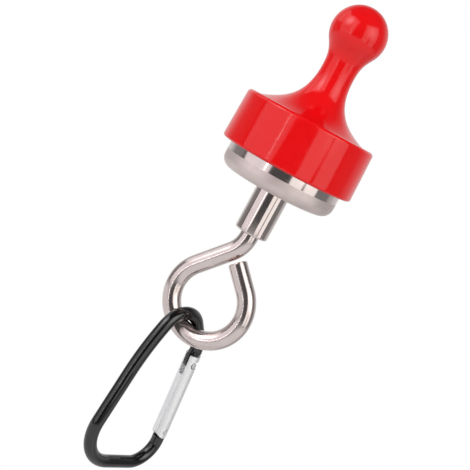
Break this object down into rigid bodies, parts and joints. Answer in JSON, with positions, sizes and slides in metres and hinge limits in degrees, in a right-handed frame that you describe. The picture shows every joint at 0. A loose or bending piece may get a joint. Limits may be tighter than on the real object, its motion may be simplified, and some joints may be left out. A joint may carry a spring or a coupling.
{
  "type": "magnetic hook",
  "caption": "Pot magnet with a pull-off ball-handled keeper cap, a threaded boss, an open eye screwed into it and a snap carabiner hanging in the eye.",
  "frame": {"origin": "centre of the magnet's working face, the plane of the cup's rim", "axes": "+Z out of the magnet's face through the cap; the eye lies in the XZ plane with its leg on the -X side; -Z is down in use"},
  "size_m": [0.0376, 0.0376, 0.143],
  "materials": {
    "red_plastic": "glossy moulded red ABS",
    "nickel": "bright nickel plate, satin on the cup's drawn edge",
    "magnet": "nickel-plated sintered magnet",
    "plain_steel": "plain zinc-plated steel",
    "epoxy": "cast black epoxy",
    "black_anodised": "gloss black anodised",
    "bright_aluminium": "bright drawn and satin"
  },
  "bodies": {
    "magnet": {"pot_cup": "nickel", "magnet_disc": "magnet", "gap_ring": "epoxy", "threaded_boss": "nickel"},
    "cap": {"cap_shell": "red_plastic", "keeper_disc": "plain_steel"},
    "eye": {"eye_hook": "nickel"},
    "carabiner": {"carabiner_body": "black_anodised", "catch_pin": "plain_steel"},
    "gate": {"gate": "bright_aluminium", "hinge_rivet": "plain_steel", "gate_spring": "plain_steel", "spring_pusher": "plain_steel"}
  },
  "joints": [
    {"name": "cap_pull", "type": "slide", "parent": "magnet", "child": "cap", "axis": [0, 0, 1], "range_m": [0, 0.02]},
    {"name": "eye_turn", "type": "hinge", "parent": "magnet", "child": "eye", "pos_m": [0, 0, -0.0208], "axis": [0, 0, 1], "continuous": true},
    {"name": "carabiner_swing", "type": "hinge", "parent": "eye", "child": "carabiner", "pos_m": [-0.0036, 0, -0.05301], "axis": [0.9744, 0, -0.225], "range_deg": [-70, 70]},
    {"name": "gate_open", "type": "hinge", "parent": "carabiner", "child": "gate", "pos_m": [0.00132, 0.01158, -0.08448], "axis": [0.9205, -0.3907, 0], "range_deg": [0, 28], "stiffness_Nm_per_rad": 0.01, "springref_deg": -22.92}
  ]
}
